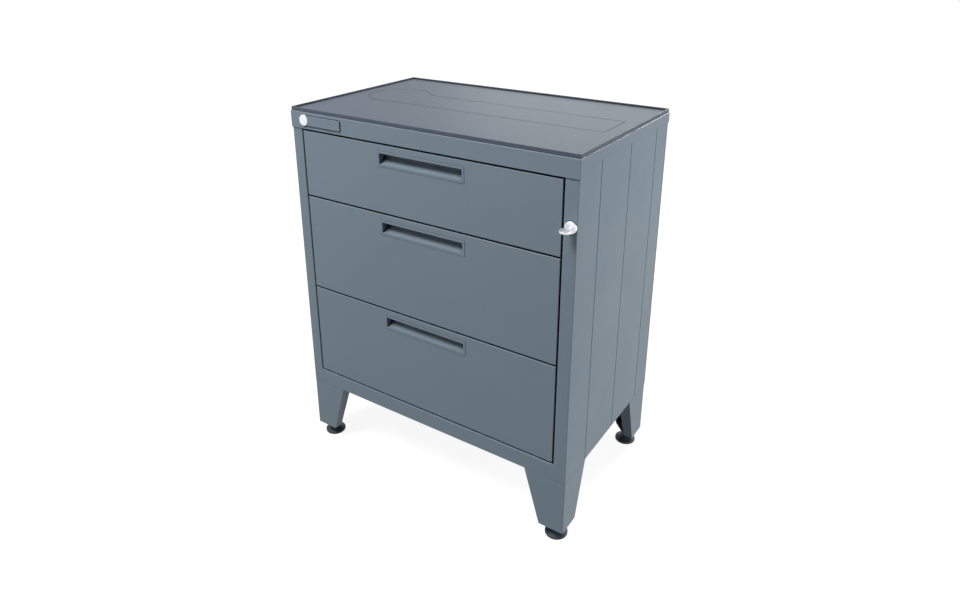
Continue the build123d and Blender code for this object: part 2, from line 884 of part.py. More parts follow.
def key():
    """Flat key, bow level, pushed home in the core."""
    high = key_blade / 2
    tip = core_recess - lock_face_proud + key_insert
    bow_y = key_bow_radius - key_reach
    blade = block(
        lock_x - key_blade_width / 2, lock_x + key_blade_width / 2, bow_y, tip, lock_z - high, lock_z + high,
    )
    thick = key_bow_thick / 2
    bow = rod_z(key_bow_radius, lock_x, bow_y, lock_z - thick, lock_z + thick)
    bow = fillet(bow.edges(), key_bow_edge)
    hole_y = key_hole_from_tip - key_reach
    return blade + bow - rod_z(key_bow_hole, lock_x, hole_y, lock_z - thick - 1, lock_z + thick + 1)


def lock_cam():
    """Round cam on the back of the core, with the drive pin that lifts and lowers the bar."""
    cam = rod_y(cam_radius, lock_x, cam_front, cam_back, lock_z)
    cam -= rod_y(screw_radius, lock_x, cam_front - 1, cam_back + 1, lock_z)
    side = pin_throw * math.cos(math.radians(45))
    return cam + rod_y(pin_radius, lock_x - side, cam_back, bar_back + pin_tip, lock_z + side)


def cam_screw():
    """Screw that holds the cam on the core."""
    head = rod_y(screw_head_radius, lock_x, cam_back, cam_back + screw_head_height, lock_z)
    return head + rod_y(screw_radius, lock_x, cam_front, cam_back, lock_z)


def lock_bar():
    """Flat bar behind the right post with a slot for the cam pin and a hook over each drawer's catch."""
    low = catch_tops[-1] + catch_clearance - guide_height - lock_bar_tail
    high = catch_tops[0] + catch_clearance + guide_height + lock_bar_head
    bar = block(bar_inner, bar_outer, bar_front, bar_back, low, high)
    for top in catch_tops:
        z0 = top + catch_clearance
        bar += block(opening_half - hook_reach, bar_inner + 1, bar_front, bar_back, z0, z0 + hook_height)
    side = pin_throw * math.cos(math.radians(45))
    grown = pin_radius + pin_clearance
    bar -= block(
        lock_x - pin_throw - grown, lock_x - side + grown, bar_front - 1, bar_back + 1,
        lock_z + side - grown, lock_z + side + grown,
    )
    return bar


def guide_places():
    """Lower edge of each guide block along the lock bar."""
    first = catch_tops[0] + catch_clearance + hook_height + guide_from_hook
    last = catch_tops[-1] + catch_clearance - bar_drop - guide_height - guide_from_hook
    between = (catch_tops[0] + catch_tops[1]) / 2 - guide_below_middle
    return [first, between, last]


def lock_bar_guides():
    """Slotted plastic blocks fixed in the post that the bar slides through."""
    left = opening_half + panel_sheet
    right = half_width - panel_sheet
    guides = []
    for z in guide_places():
        guide = block(left, right, bar_front - guide_wall, bar_back + guide_wall, z, z + guide_height)
        guide -= block(
            bar_inner - guide_clearance, bar_outer + guide_clearance,
            bar_front - guide_clearance, bar_back + guide_clearance, z - 1, z + guide_height + 1,
        )
        guides.append(guide)
    return guides


def badge_plate():
    """Blank raised plate at the upper left of the cap's front."""
    plate = block(
        badge_left, badge_left + badge_length, -cap_overhang - badge_proud, -cap_overhang,
        badge_middle - badge_height / 2, badge_middle + badge_height / 2,
    )
    plate = fillet(plate.edges().filter_by(Axis.Y), badge_corner)
    plate = fillet(plate.edges().group_by(Axis.Y)[0], badge_edge)
    return plate - badge_seat(disc_fit)


def badge_seat(clearance):
    """Cylinder that the round inlay fills at the left end of the plate."""
    front = -cap_overhang - badge_proud - 2
    return rod_y(disc_radius + clearance, badge_left, front, -cap_overhang, badge_middle)


def badge_disc():
    """Plain round inlay at the left end of the badge plate."""
    disc = rod_y(disc_radius, badge_left, -cap_overhang - disc_proud, -cap_overhang, badge_middle)
    return fillet(disc.edges().group_by(Axis.Y)[0], disc_edge)


right_panel = side_panel()
left_panel = mirrored(right_panel)
for opening in lock_openings():
    right_panel -= opening
write("left_side_panel", left_panel)
write("right_side_panel", right_panel)
write("back_panel", back_panel())
write("base_pan", base_pan())
write("top_front_rail", top_front_rail())
write("left_rear_upright", mirrored(rear_upright()))
write("right_rear_upright", rear_upright())
write("top_cap", cap())
write("top_mat", top_mat())
write("back_rivets", *back_rivet_group())
write("cap_screws", *cap_screws())
write("slide_screws", *slide_screws())

folded_leg = leg()
for name, side, corner, inward in leg_corners():
    write(f"leg_{name}", at_corner(folded_leg, side, corner, inward))
    x, y = side * foot_x, corner + inward * foot_inset
    write(f"foot_pad_{name}", foot_pad(x, y))
    write(f"foot_stud_{name}", foot_stud(x, y))
write("leg_bolts", *leg_bolts())
write("foot_nuts", *foot_nuts(leg_to_floor + leg_sheet), *foot_nuts(leg_to_floor - nut_height))

for number, (top, height, middle) in enumerate(zip(drawer_tops, drawer_heights, slide_middles()), 1):
    outer, centre, inner = slide_members(middle)
    write(f"slide_cabinet_members_{number}", outer, mirrored(outer))
    write(f"slide_middle_members_{number}", centre, mirrored(centre))
    write(f"slide_drawer_members_{number}", inner, mirrored(inner))
    write(f"drawer_front_{number}", drawer_front(top, height))
    write(f"drawer_handle_{number}", drawer_handle(top))
    write(f"drawer_box_{number}", drawer_box(top, height))
    write(f"drawer_catch_{number}", drawer_catch(top))
    write(f"drawer_screws_{number}", *drawer_screws(top, height, middle))

write("lock_barrel", lock_barrel())
write("lock_barrel_nut", lock_barrel_nut())
write("lock_core", lock_core())
write("lock_key", key())
write("lock_cam", lock_cam())
write("cam_screw", cam_screw())
write("lock_bar", lock_bar())
write("lock_bar_guides", *lock_bar_guides())
write("badge_plate", badge_plate())
write("badge_disc", badge_disc())
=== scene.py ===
"""A sheet-steel drawer cabinet on levelling feet: its finishes, small parts and studio."""
import json
import math

import bmesh
import bpy
from mathutils import Matrix, Vector


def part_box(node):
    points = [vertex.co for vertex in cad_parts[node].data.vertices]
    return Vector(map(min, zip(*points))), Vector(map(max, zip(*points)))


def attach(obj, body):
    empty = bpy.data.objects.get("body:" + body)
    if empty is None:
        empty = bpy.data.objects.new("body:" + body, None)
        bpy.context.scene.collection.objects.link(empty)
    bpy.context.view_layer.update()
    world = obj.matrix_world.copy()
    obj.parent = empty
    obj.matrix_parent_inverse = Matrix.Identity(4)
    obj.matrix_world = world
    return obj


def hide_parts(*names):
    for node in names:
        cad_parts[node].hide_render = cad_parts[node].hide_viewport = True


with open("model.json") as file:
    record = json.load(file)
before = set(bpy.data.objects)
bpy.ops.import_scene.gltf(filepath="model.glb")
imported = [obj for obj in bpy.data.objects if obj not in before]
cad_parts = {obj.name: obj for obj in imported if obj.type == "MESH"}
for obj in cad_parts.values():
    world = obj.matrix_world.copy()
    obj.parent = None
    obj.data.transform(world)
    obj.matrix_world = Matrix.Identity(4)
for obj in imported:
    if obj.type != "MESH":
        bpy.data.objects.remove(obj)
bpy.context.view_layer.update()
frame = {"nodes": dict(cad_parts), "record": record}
nodes = frame["nodes"]

# Colours, as light values
COAT = (0.166, 0.214, 0.256)
MAT = (0.048, 0.065, 0.088)
ZINC = (0.60, 0.62, 0.64)
NICKEL = (0.64, 0.66, 0.68)
BLACK = (0.018, 0.028, 0.038)
WHITE = (0.84, 0.85, 0.86)
PLAIN = (1, 1, 1)

# Painted shade of closed-in surfaces: its reach in metres, how open a surface is where the shade is full and
# where it ends, and its darkest tone. In turn: gaps, seams of sheets, level faces deep in hollows, lines of
# the mat
GAP_SHADE = (0.016, 0.25, 0.52, 0.01)
SEAM_SHADE = (0.003, 0.52, 0.97, 0.03)
DEEP_SHADE = (0.045, 0.20, 0.50, 0.03)
MAT_SHADE = (0.005, 0.50, 0.97, 0.02)
SHADE_SAMPLES = 8
# How far a face's normal points up or down where the face starts to count as level, and where it fully does
LEVEL_FROM, LEVEL_TO = 0.05, 0.35
# Where the shade is black a surface is fully rough. From this tone of the shade up it is no rougher than this
CLEAR_TONE, CLEAR_ROUGHNESS = 0.5, 0.3

# Lengths of forms are in millimetres. Only MERGE is in metres: points that lie closer than it are joined.
# OVERLAP is how far two forms reach into each other where they meet
MM = 0.001
MERGE = 0.000002
OVERLAP = 0.1
CORNERS = ("front_left", "front_right", "rear_left", "rear_right")

# Nuts and bolts: the rise of a chamfer for each millimetre that it runs in, and the sides of round forms
CHAMFER = 0.62
HEXAGON_SIDES, WASHER_SIDES, SHANK_SIDES = 48, 32, 24
BOLT_ACROSS, BOLT_HEAD, BOLT_NUT, BOLT_SHANK = 13.0, 5.3, 6.5, 4.0
BOLT_NUT_LAP, BOLT_NUT_CORNER = 0.3, 0.4
# The dish in a bolt's head: its depth, and the radii of its floor and rim as shares of the width across flats
DISH, DISH_FLOOR, DISH_RIM = 0.3, 0.30, 0.34
# The round face under a head: its height, and its radius as a share of the width across flats
WASHER, WASHER_SHARE = 0.5, 0.47
SHANK_TIP_SHARE = 0.2
LEG_BOLT_SPACING = 16.0

# Foot studs. The thread's depth, and where its crest starts and ends, are shares of its pitch
STUD, STUD_PITCH = 5.0, 1.5
THREAD_DEPTH, CREST_START, CREST_END = 0.58, 0.42, 0.58
THREAD_SIDES, STUD_TIP_SIDES, STUD_FOOT_SIDES = 20, 20, 28
STUD_TIP, STUD_TIP_LAP, STUD_TIP_TAPER = 1.0, 0.2, 0.6
FOOT_ACROSS, FOOT_NUT, FOOT_NUT_GAP, FOOT_NUT_CORNER = 17.0, 8.0, 0.1, 0.5
COLLAR_ACROSS, COLLAR_TOP, COLLAR_CORNER = 15.0, 23.7, 0.6
# The top of the foot's hub, and how far over it the thread starts and the plain foot of the stud ends
HUB_TOP, THREAD_OVER_HUB, PLAIN_OVER_HUB = 17.0, 1.0, 1.5

# Blind rivets: the least distance between them, and their side outline as radius and height over the panel
RIVET_SPACING = 12.0
RIVET_SIDES, RIVET_DOME = 28, 1.2
RIVET_OUTLINE = (
    (0, -1.2), (1.75, -1.2), (1.75, 0), (3.2, 0), (3.2, 0.25), (2.95, 0.6), (2.3, 0.95), (1.5, 1.15),
    (1.15, RIVET_DOME), (0.95, 1.05), (0.85, 0.45), (0, 0.45),
)

# The key: its bow with the eye, the rim round its sunk faces, and its blade with the depth of each cut up to
# the tip
KEY_BOW, KEY_THICK, KEY_BOW_SIDES = 12.0, 4.4, 64
KEY_EYE, KEY_EYE_OUT, KEY_EYE_SIDES = 2.2, 7.0, 28
KEY_RIM, KEY_SUNK, KEY_SOFT = 1.1, 0.25, 0.6
KEY_BLADE, KEY_SHEET, KEY_CUTS = 7.0, 1.8, 30
KEY_DEPTHS = (0.4, 1.5, 0.9, 0.9, 2.0, 1.2, 1.2, 0.5, 1.7, 1.1, 1.1, 2.1, 1.4, 1.4, 0.6, 0.6)
# A face whose normal rises this much is flat, and an edge that folds by this angle in radians is a rim
FLAT_NORMAL, RIM_ANGLE = 0.9, 1.2

# Slide levers: how deep they sit behind the outer edge, and how far behind the front they start. Then each
# lever's plate, thumb tab and buffer: start and end, lower and upper edge, and how far it stands off the web
LEVER_SEAT, LEVER_FROM, LEVER_SOFT = 5.5, 20.0, 0.5
LEVER_BLOCKS = ((0, 78, -4.5, 4.5, 1.6), (6, 22, -9.0, -4.0, 2.4), (60, 74, -2.5, 2.5, 3.4))

# Angles in degrees from which edges are drawn sharp
SHARP, KEY_SHARP = 32, 35

# Camera, fitted to the straight edges of the cabinet in the photograph
CAMERA_AT = (0.9139, -1.3683, 1.2612)
CAMERA_TILT = 69.781
CAMERA_TURN = 33.323
CAMERA_LENS = 27.457
CAMERA_SENSOR = 36.0
CAMERA_SHIFT = -0.0946

# Studio: the soft light all round, and the floor with its glow that fades in away from the object
WORLD_COLOUR, WORLD_LEVEL = (0.96, 0.98, 1.0), 0.10
FLOOR_RADIUS, FLOOR_SIDES = 60.0, 96
FLOOR_NEAR, FLOOR_FADE = 3.0, 0.6
FLOOR_SHADED = (0.16, 0.16, 0.16)
FLOOR_PLAIN = (0.28, 0.28, 0.28)
FLOOR_GLOW = 0.90

# Lamps: place, point they face, size and power
LAMPS = {
    "side": ((2.6, 0.3, 1.0), (0, 0, 0.55), 1.6, 38),
    "front_high": ((-0.9, -2.0, 3.8), (0, -0.1, 0.6), 1.4, 180),
    "front_left_high": ((-1.6, -2.0, 2.2), (0, 0, 0.6), 1.4, 12),
    "rear_right": ((0.9, 2.1, 1.7), (0.2, 0, 0.7), 0.4, 38),
    "left": ((-2.4, 0.3, 1.5), (0, 0, 0.55), 1.6, 8),
    "rear": ((-0.9, 2.6, 1.6), (0, 0, 0.55), 1.6, 15),
}


# Shader helpers

def shader(name):
    """A new material with its node tree and its main shader."""
    made = bpy.data.materials.new(name)
    made.use_nodes = True
    return made, made.node_tree, made.node_tree.nodes["Principled BSDF"]


def fill(tree, sockets, values):
    """Give each socket a plain value, or a link from another node's result."""
    for socket, value in zip(sockets, values):
        if isinstance(value, bpy.types.NodeSocket):
            tree.links.new(value, socket)
        else:
            socket.default_value = value


def add_node(tree, kind, settings=None, **sockets):
    """A shader node with its settings, and with socket values or links given by name."""
    made = tree.nodes.new(kind)
    for key, value in (settings or {}).items():
        setattr(made, key, value)
    fill(tree, [made.inputs[key.replace("_", " ")] for key in sockets], sockets.values())
    return made


def calculated(tree, operation, *values):
    """The result of one mathematical operation."""
    made = add_node(tree, "ShaderNodeMath", {"operation": operation})
    fill(tree, made.inputs, values)
    return made.outputs["Value"]


def place_on_piece(tree, stretch=(1, 1, 1)):
    """Object coordinates, stretched along an axis where a grain runs that way."""
    where = add_node(tree, "ShaderNodeTexCoord")
    mapping = add_node(tree, "ShaderNodeMapping", Vector=where.outputs["Object"], Scale=stretch)
    return mapping.outputs["Vector"]


def noise(tree, where, scale, detail=2.0):
    """Cloudy values between 0 and 1, with a number of clouds in each metre."""
    made = add_node(tree, "ShaderNodeTexNoise", Vector=where, Scale=scale, Detail=detail)
    return made.outputs["Fac"]


def spread(tree, value, low=0.0, high=1.0, start=0.3, end=0.7, curve="LINEAR"):
    """A value stretched from start...end to low...high."""
    made = add_node(tree, "ShaderNodeMapRange", {"interpolation_type": curve}, Value=value)
    fill(tree, made.inputs[1:5], (start, end, low, high))
    return made.outputs["Result"]


def clouds(tree, where, scale, detail=2.0, low=0.0, high=1.0):
    """Cloudy values that fill the range between two ends."""
    return spread(tree, noise(tree, where, scale, detail), low, high)


def mixed(tree, share, first, second, blend="MIX"):
    """Two colours mixed by a share, through the colour sockets of a mix node."""
    made = add_node(tree, "ShaderNodeMix", {"data_type": "RGBA", "blend_type": blend}, Factor=share)
    fill(tree, made.inputs[6:8], (first, second))
    return made.outputs[2]


def toned(tree, pattern, colour, low, high):
    """A colour that a pattern takes from one strength to another."""
    weak, strong = ((*(part * strength for part in colour), 1) for strength in (low, high))
    return mixed(tree, pattern, weak, strong)


def times(tree, first, second):
    """Two tones multiplied."""
    return mixed(tree, 1.0, first, second, "MULTIPLY")


def openness(tree, shade, raised=0.0):
    """A painted shade's tone, from its darkest where closed in to 1 where open, with a number added to both.
    """
    reach, closed, opened, darkest = shade
    around = add_node(tree, "ShaderNodeAmbientOcclusion", {"samples": SHADE_SAMPLES}, Distance=reach)
    return spread(tree, around.outputs["AO"], darkest + raised, 1.0 + raised, closed, opened, "SMOOTHSTEP")


def level_shade(tree, shade):
    """Painted shade: a tone below 1 deep inside hollows, on faces that look up or down and not on upright
    walls.
    """
    surface = tree.nodes.new("ShaderNodeNewGeometry")
    facing = add_node(tree, "ShaderNodeSeparateXYZ", Vector=surface.outputs["Normal"])
    rise = calculated(tree, "ABSOLUTE", facing.outputs["Z"])
    level = spread(tree, rise, start=LEVEL_FROM, end=LEVEL_TO)
    return calculated(tree, "MULTIPLY_ADD", level, openness(tree, shade, -1.0), 1.0)


def dulled(tree, roughness, tone):
    """A roughness that rises where a tone of painted shade is dark."""
    return calculated(tree, "MAXIMUM", roughness, spread(tree, tone, 1.0, CLEAR_ROUGHNESS, 0.0, CLEAR_TONE))


def covered(tree, body, colour, roughness):
    """Give the main shader its colour and roughness."""
    fill(tree, (body.inputs["Base Color"], body.inputs["Roughness"]), (colour, roughness))


def bumped(tree, body, height, depth, strength):
    """Raise a pattern on the main shader by a depth in metres."""
    made = add_node(tree, "ShaderNodeBump", Height=height, Distance=depth, Strength=strength)
    tree.links.new(made.outputs["Normal"], body.inputs["Normal"])


# Finishes

def powder_coat():
    """Satin blue-grey powder coat, with faint orange peel and slow drifts of tone, and painted shade in gaps
    and seams.
    """
    made, tree, body = shader("powder_coat_finish")
    where = place_on_piece(tree)
    drift = toned(tree, clouds(tree, where, scale=2.6, detail=3.0), COAT, low=0.975, high=1.025)
    fleck = toned(tree, clouds(tree, where, scale=2400.0, detail=1.0), PLAIN, low=0.93, high=1.0)
    # Painted shade: the colour darkens in gaps, deep hollows and seams, where little light falls
    painted_hollow_shade = times(tree, openness(tree, GAP_SHADE), level_shade(tree, DEEP_SHADE))
    tone = times(tree, times(tree, times(tree, drift, fleck), painted_hollow_shade), openness(tree, SEAM_SHADE))
    sheen = clouds(tree, where, scale=9.0, detail=4.0, low=0.35, high=0.43)
    covered(tree, body, tone, dulled(tree, sheen, painted_hollow_shade))
    body.inputs["Specular IOR Level"].default_value = 0.13
    bumped(tree, body, noise(tree, where, scale=620.0, detail=1.5), depth=0.0003, strength=0.10)
    return made


def mat_rubber():
    """Matt moulded mat with a fine even grain, with painted shade in its moulded lines."""
    made, tree, body = shader("mat_rubber_finish")
    where = place_on_piece(tree)
    cells = add_node(tree, "ShaderNodeTexVoronoi", Vector=where, Scale=900.0)
    drift = toned(tree, clouds(tree, where, scale=4.0), MAT, low=0.97, high=1.03)
    sheen = clouds(tree, where, scale=260.0, detail=3.0, low=0.50, high=0.56)
    # Painted shade darkens the mat's colour in its moulded lines, in the corners of its lip and low on its
    # edge faces
    covered(tree, body, times(tree, drift, openness(tree, MAT_SHADE)), sheen)
    body.inputs["Specular IOR Level"].default_value = 0.34
    bumped(tree, body, cells.outputs["Distance"], depth=0.0003, strength=0.18)
    return made


def bright_zinc():
    """Bright zinc plate on rolled steel, with soft streaks along the roll."""
    made, tree, body = shader("bright_zinc_finish")
    streak = noise(tree, place_on_piece(tree, (1.0, 0.04, 1.0)), scale=420.0, detail=3.0)
    tone = toned(tree, clouds(tree, place_on_piece(tree), scale=38.0, detail=3.0), ZINC, low=0.90, high=1.08)
    covered(tree, body, tone, spread(tree, streak, low=0.26, high=0.42))
    body.inputs["Metallic"].default_value = 1.0
    bumped(tree, body, streak, depth=0.0001, strength=0.15)
    return made


def satin_nickel():
    """Satin nickel plate with fine handling marks."""
    made, tree, body = shader("nickel_finish")
    where = place_on_piece(tree)
    marks = noise(tree, where, scale=1500.0, detail=3.0)
    tone = toned(tree, clouds(tree, where, scale=240.0), NICKEL, low=0.94, high=1.0)
    covered(tree, body, tone, spread(tree, marks, low=0.48, high=0.60))
    body.inputs["Metallic"].default_value = 1.0
    bumped(tree, body, marks, depth=0.00005, strength=0.10)
    return made


def black_plastic():
    """Black moulded plastic with a fine eroded grain."""
    made, tree, body = shader("black_plastic_finish")
    where = place_on_piece(tree)
    grain = noise(tree, where, scale=1300.0)
    tone = toned(tree, clouds(tree, where, scale=60.0), BLACK, low=0.85, high=1.2)
    covered(tree, body, tone, spread(tree, grain, low=0.46, high=0.58))
    body.inputs["Specular IOR Level"].default_value = 0.36
    bumped(tree, body, grain, depth=0.0002, strength=0.2)
    return made


def white_inlay():
    """Satin white plastic."""
    made, tree, body = shader("white_inlay_finish")
    where = place_on_piece(tree)
    tone = toned(tree, noise(tree, where, scale=90.0), WHITE, low=0.97, high=1.0)
    covered(tree, body, tone, clouds(tree, where, scale=700.0, low=0.28, high=0.36))
    return made


finishes = {
    "powder_coat": powder_coat(),
    "mat_rubber": mat_rubber(),
    "bright_zinc": bright_zinc(),
    "nickel": satin_nickel(),
    "black_plastic": black_plastic(),
    "white_inlay": white_inlay(),
}


def dress_nodes():
    """Give every carried-over node the finish of its material slot."""
    for part in frame["record"]["subparts"]:
        for slot in nodes[part["node"]].material_slots:
            slot.material = finishes[part["material_slot"]]


# Forms

def spun(outline, steps, turns=1, rise=0):
    """A side outline of (radius, height) points spun round the upright axis, with a rise in each turn."""
    form = bmesh.new()
    line = [form.verts.new((radius * MM, 0, height * MM)) for radius, height in outline]
    edges = [form.edges.new(pair) for pair in zip(line, line[1:])]
    bmesh.ops.spin(
        form, geom=line + edges, cent=(0, 0, 0), axis=(0, 0, 1), dvec=(0, 0, rise * MM / steps),
        angle=2 * math.pi * turns, steps=steps * turns, use_merge=not rise,
    )
    bmesh.ops.remove_doubles(form, verts=form.verts, dist=MERGE)
    return form


def cut_off(form, at, way):
    """Cut away everything past a plane, given by a point in metres and by the way that the plane faces."""
    everything = form.verts[:] + form.edges[:] + form.faces[:]
    bmesh.ops.bisect_plane(form, geom=everything, dist=MERGE, plane_co=at, plane_no=way, clear_outer=True)


def closed_up(form):
    """Fill every open rim of a form."""
    rims = [edge for edge in form.edges if edge.is_boundary]
    bmesh.ops.holes_fill(form, edges=rims, sides=0)


def with_flats(form, across):
    """Six flats cut on a round form, for a spanner."""
    for index in range(6):
        turn = math.radians(30 + 60 * index)
        way = Vector((math.cos(turn), math.sin(turn), 0))
        cut_off(form, way * across * MM / 2, way)
        closed_up(form)
    return form


def threaded(crest, pitch, low, high):
    """A rod with a screw thread, spun a turn too long at both ends and cut flat at two heights."""
    root = crest - THREAD_DEPTH * pitch
    outline = [(root, 0.0), (crest, CREST_START), (crest, CREST_END), (root, 1.0)]
    first = low - pitch
    turns = 1 + math.ceil((high - low) / pitch) + 1
    form = spun([(radius, first + share * pitch) for radius, share in outline], THREAD_SIDES, turns, pitch)
    for height, way in ((low, -1), (high, 1)):
        cut_off(form, (0, 0, height * MM), (0, 0, way))
    closed_up(form)
    return form


def thickened(form, thick):
    """Raise a flat form into a solid, by a thickness in millimetres."""
    raised = bmesh.ops.extrude_face_region(form, geom=form.faces[:])
    moved = [part for part in raised["geom"] if isinstance(part, bmesh.types.BMVert)]
    bmesh.ops.translate(form, verts=moved, vec=(0, 0, thick * MM))


def put(form, shape, at, turn=None):
    """Add a small shape to a form, turned and moved to its place in metres."""
    held = bpy.data.meshes.new("shape")
    shape.to_mesh(held)
    shape.free()
    already = len(form.verts)
    form.from_mesh(held)
    bpy.data.meshes.remove(held)
    form.verts.ensure_lookup_table()
    place = Matrix.Translation(Vector(at))
    if turn is not None:
        place = place @ turn
    bmesh.ops.transform(form, matrix=place, verts=form.verts[already:])


def finished(form, name, body, slot, replaced=(), sharp=SHARP):
    """Turn a form into a named piece that rides on a body, with its finish."""
    bmesh.ops.remove_doubles(form, verts=form.verts, dist=MERGE)
    bmesh.ops.recalc_face_normals(form, faces=form.faces)
    mesh = bpy.data.meshes.new(name)
    form.to_mesh(mesh)
    form.free()
    mesh.shade_smooth()
    mesh.set_sharp_from_angle(angle=math.radians(sharp))
    mesh.materials.append(finishes[slot])
    piece = bpy.data.objects.new(name, mesh)
    bpy.context.scene.collection.objects.link(piece)
    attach(piece, body)
    if replaced:
        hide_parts(*replaced)


def middle(node):
    """The middle of a node's box."""
    low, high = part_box(node)
    return (Vector(low) + Vector(high)) / 2


def solid_middles(node, spacing, axes):
    """The middle, on two named axes, of each group of a node's vertices, told apart by a spacing."""
    groups = []
    for vertex in nodes[node].data.vertices:
        at = getattr(vertex.co, axes)
        for group in groups:
            if (at - group[0]).length < spacing * MM:
                group.append(at)
                break
        else:
            groups.append([at])
    return [[(min(values) + max(values)) / 2 for values in zip(*group)] for group in groups]


# Legs, bolts and feet

def hexagon(across):
    """The radius of a hexagon's corners, and the height of the chamfer that takes them off."""
    outer = across / math.sqrt(3)
    return outer, (outer - across / 2) * CHAMFER


def hexagon_nut(hole, across, height, corner):
    """A nut with both ends chamfered, standing on height 0."""
    outer, edge = hexagon(across)
    return with_flats(spun([
        (hole, corner), (hole + corner, 0), (across / 2, 0), (outer, edge), (outer, height - edge),
        (across / 2, height), (hole + corner, height), (hole, height - corner), (hole, corner),
    ], HEXAGON_SIDES), across)


def hexagon_bolt(across, height, shank, length):
    """A bolt, its head hanging below height 0 and its shank up from it."""
    outer, edge = hexagon(across)
    dish = DISH - height
    bolt = with_flats(spun([
        (0, dish), (across * DISH_FLOOR, dish), (across * DISH_RIM, -height), (across / 2, -height),
        (outer, edge - height), (outer, -WASHER), (0, -WASHER),
    ], HEXAGON_SIDES), across)
    face, seat = across * WASHER_SHARE, -WASHER - OVERLAP
    put(bolt, spun([(0, seat), (face, seat), (face, 0), (0, 0)], WASHER_SIDES), (0, 0, 0))
    tip = shank * SHANK_TIP_SHARE
    put(bolt, spun([
        (0, -OVERLAP), (shank, -OVERLAP), (shank, length - tip), (shank - tip, length), (0, length),
    ], SHANK_SIDES), (0, 0, 0))
    return bolt


def leg_bolts():
    """Chamfered bolts and nuts between the legs and the base pan, where the back panel stands too."""
    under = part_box("leg_bolts")[0][2] + BOLT_HEAD * MM
    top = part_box("leg_bolts")[1][2]
    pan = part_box("back_panel")[0][2]
    hole = BOLT_SHANK - BOLT_NUT_LAP
    form = bmesh.new()
    for x, y in solid_middles("leg_bolts", LEG_BOLT_SPACING, "xy"):
        put(form, hexagon_bolt(BOLT_ACROSS, BOLT_HEAD, BOLT_SHANK, (top - under) / MM), (x, y, under))
        put(form, hexagon_nut(hole, BOLT_ACROSS, BOLT_NUT, BOLT_NUT_CORNER), (x, y, pan))
    finished(form, "leg_bolt_set", "cabinet", "bright_zinc", ["leg_bolts"])


def foot_nuts():
    """The two nuts round each stud, one under the leg and one on its foot plate."""
    low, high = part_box("foot_nuts")
    form = bmesh.new()
    for name in CORNERS:
        at = middle(f"foot_stud_{name}")
        for height in (low[2], high[2] - FOOT_NUT * MM):
            nut = hexagon_nut(STUD + FOOT_NUT_GAP, FOOT_ACROSS, FOOT_NUT, FOOT_NUT_CORNER)
            put(form, nut, (at.x, at.y, height))
    finished(form, "foot_nut_set", "cabinet", "bright_zinc", ["foot_nuts"])


def foot_stud(name):
    """A stud with a real thread and its spanner hexagon, standing in the foot pad's hub."""
    node = f"foot_stud_{name}"
    low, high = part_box(node)
    at = middle(node)
    foot, top = low[2] / MM, high[2] / MM
    root = STUD - THREAD_DEPTH * STUD_PITCH
    tip = top - STUD_TIP - STUD_TIP_LAP
    plain = HUB_TOP + PLAIN_OVER_HUB
    outer = hexagon(COLLAR_ACROSS)[0]
    height = COLLAR_TOP - HUB_TOP
    collar = spun([
        (0, 0), (COLLAR_ACROSS / 2, 0), (outer, COLLAR_CORNER), (outer, height - COLLAR_CORNER),
        (COLLAR_ACROSS / 2, height), (0, height),
    ], HEXAGON_SIDES)
    form = bmesh.new()
    for shape, start in (
        (threaded(STUD, STUD_PITCH, HUB_TOP + THREAD_OVER_HUB, top - STUD_TIP), 0),
        (spun([(0, tip), (root, tip), (root - STUD_TIP * STUD_TIP_TAPER, top), (0, top)], STUD_TIP_SIDES), 0),
        (spun([(0, foot), (STUD, foot), (STUD, plain), (0, plain)], STUD_FOOT_SIDES), 0),
        (with_flats(collar, COLLAR_ACROSS), HUB_TOP * MM),
    ):
        put(form, shape, (at.x, at.y, start))
    finished(form, f"threaded_stud_{name}", f"foot_{name}", "bright_zinc", [node])


# Back

def blind_rivets():
    """Domed blind rivets with the dimple of their broken stem, along the edges of the back panel."""
    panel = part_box("back_rivets")[1][1] - RIVET_DOME * MM
    outward = Matrix.Rotation(math.radians(-90), 4, "X")
    form = bmesh.new()
    for x, z in solid_middles("back_rivets", RIVET_SPACING, "xz"):
        put(form, spun(RIVET_OUTLINE, RIVET_SIDES), (x, panel, z), outward)
    finished(form, "blind_rivets", "cabinet", "bright_zinc", ["back_rivets"])


# Lock

def key_bow():
    """A flat round bow with an eye through it, softened rims and slightly sunk faces."""
    form = bmesh.new()
    for radius, out, steps in ((KEY_BOW, 0, KEY_BOW_SIDES), (KEY_EYE, KEY_EYE_OUT, KEY_EYE_SIDES)):
        ring = bmesh.ops.create_circle(form, segments=steps, radius=radius * MM)["verts"]
        bmesh.ops.translate(form, verts=ring, vec=(0, -out * MM, -KEY_THICK * MM / 2))
    bmesh.ops.triangle_fill(form, edges=form.edges[:], use_beauty=True)
    thickened(form, KEY_THICK)
    bmesh.ops.recalc_face_normals(form, faces=form.faces)
    for way in (-1, 1):
        face = [side for side in form.faces if side.normal.z * way > FLAT_NORMAL]
        bmesh.ops.inset_region(
            form, faces=face, thickness=KEY_RIM * MM, depth=-KEY_SUNK * MM, use_even_offset=True,
        )
    rims = [
        edge for edge in form.edges
        if edge.calc_face_angle(0) > RIM_ANGLE and abs(abs(edge.verts[0].co.z) - KEY_THICK * MM / 2) < MERGE
    ]
    bmesh.ops.bevel(form, geom=rims, offset=KEY_SOFT * MM, segments=3, profile=0.5, affect="EDGES")
    return form


def key_blade(long):
    """A flat blade of a length in metres, with cuts along one edge up to its tip."""
    form = bmesh.new()
    bmesh.ops.create_grid(form, x_segments=1, y_segments=KEY_CUTS, size=0.5)
    bmesh.ops.scale(form, verts=form.verts, vec=(KEY_BLADE * MM, long, 1))
    edge = sorted((vertex for vertex in form.verts if vertex.co.x < 0), key=lambda vertex: vertex.co.y)
    for vertex, depth in zip(edge[-len(KEY_DEPTHS):], KEY_DEPTHS):
        bmesh.ops.translate(form, verts=[vertex], vec=(depth * MM, 0, 0))
    thickened(form, KEY_SHEET)
    return form


